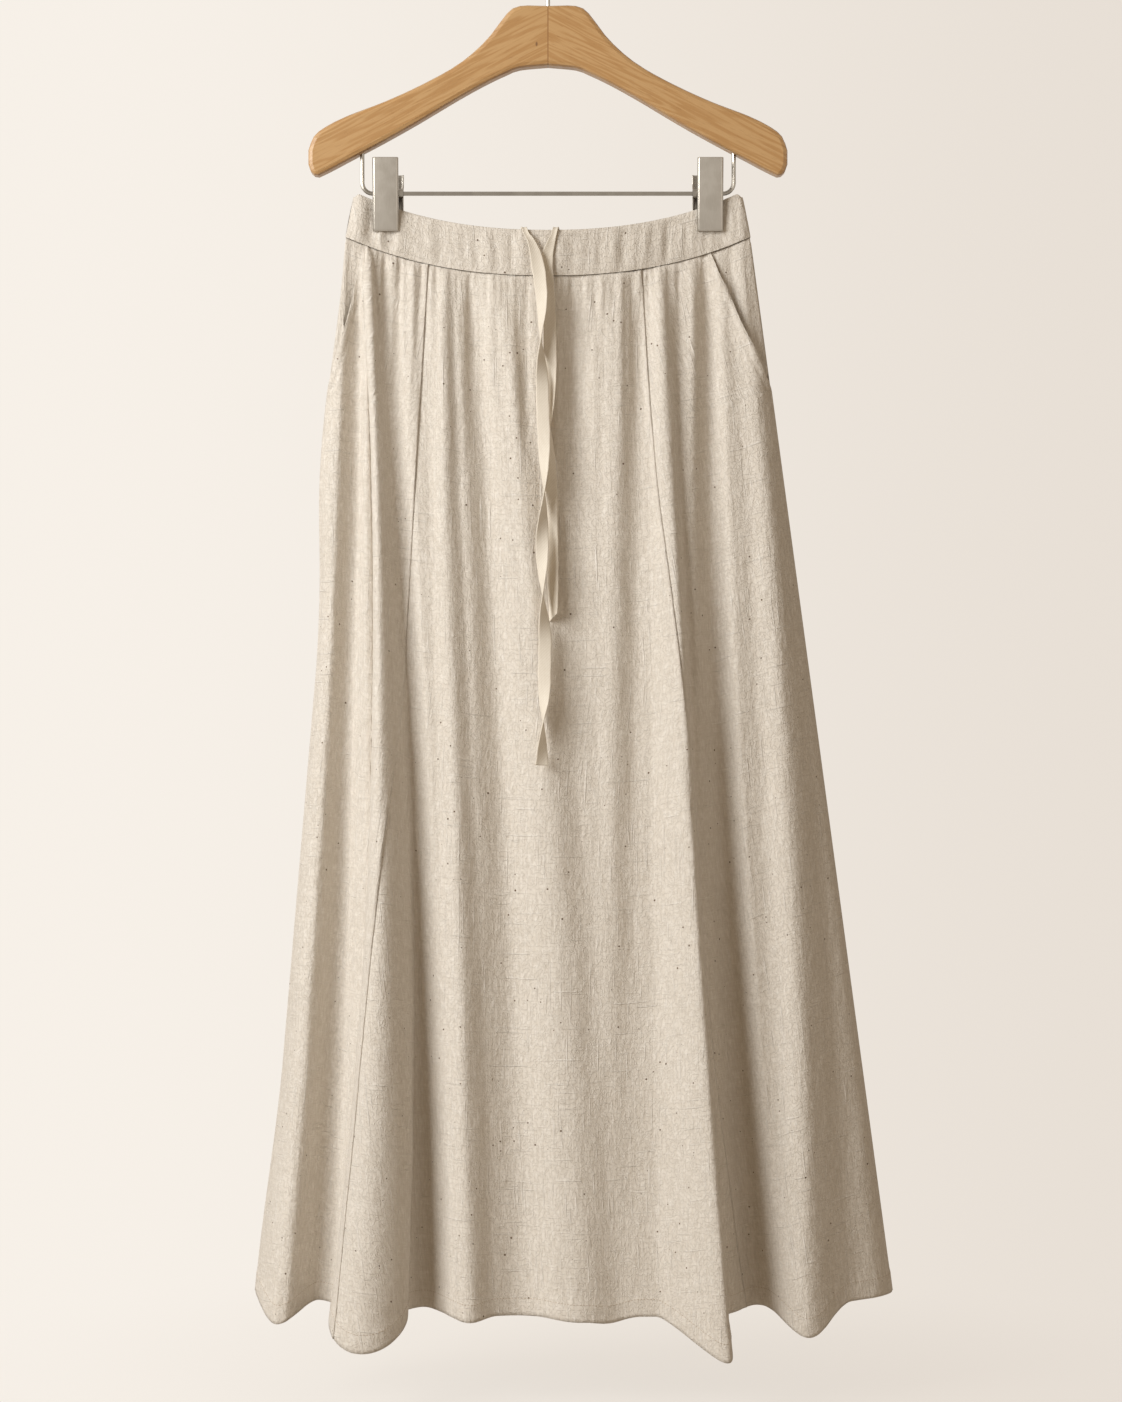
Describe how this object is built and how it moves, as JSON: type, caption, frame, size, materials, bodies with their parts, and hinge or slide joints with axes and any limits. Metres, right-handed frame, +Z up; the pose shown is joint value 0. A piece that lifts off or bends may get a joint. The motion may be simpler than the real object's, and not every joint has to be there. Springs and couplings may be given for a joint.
{
  "type": "maxi skirt on a wooden clip hanger",
  "caption": "Long gored skirt with a gathered drawstring waistband and slant pockets, hanging from the clips of a wooden hanger.",
  "frame": {"origin": "inner top of the hanger's hook, where it hangs on a rail", "axes": "+Z up, -Y out of the skirt's front, +X to the right of someone who looks at the front"},
  "size_m": [0.59, 0.2072, 1.3139],
  "materials": {
    "linen": "matt",
    "tape": "matt",
    "wood": "satin",
    "steel": "satin"
  },
  "bodies": {
    "root": {"waistband_front": "linen", "waistband_back": "linen", "front_centre": "linen", "front_side_left": "linen", "front_side_right": "linen", "back_centre": "linen", "back_side_left": "linen", "back_side_right": "linen", "pocket_left": "linen", "pocket_right": "linen", "drawstring_long": "tape", "drawstring_short": "tape", "hanger_wood": "wood", "hanger_hook": "steel", "hanger_bar": "steel", "clip_left_front_plate": "steel", "clip_left_back_plate": "steel", "clip_left_spring": "steel", "clip_right_front_plate": "steel", "clip_right_back_plate": "steel", "clip_right_spring": "steel"}
  },
  "joints": []
}
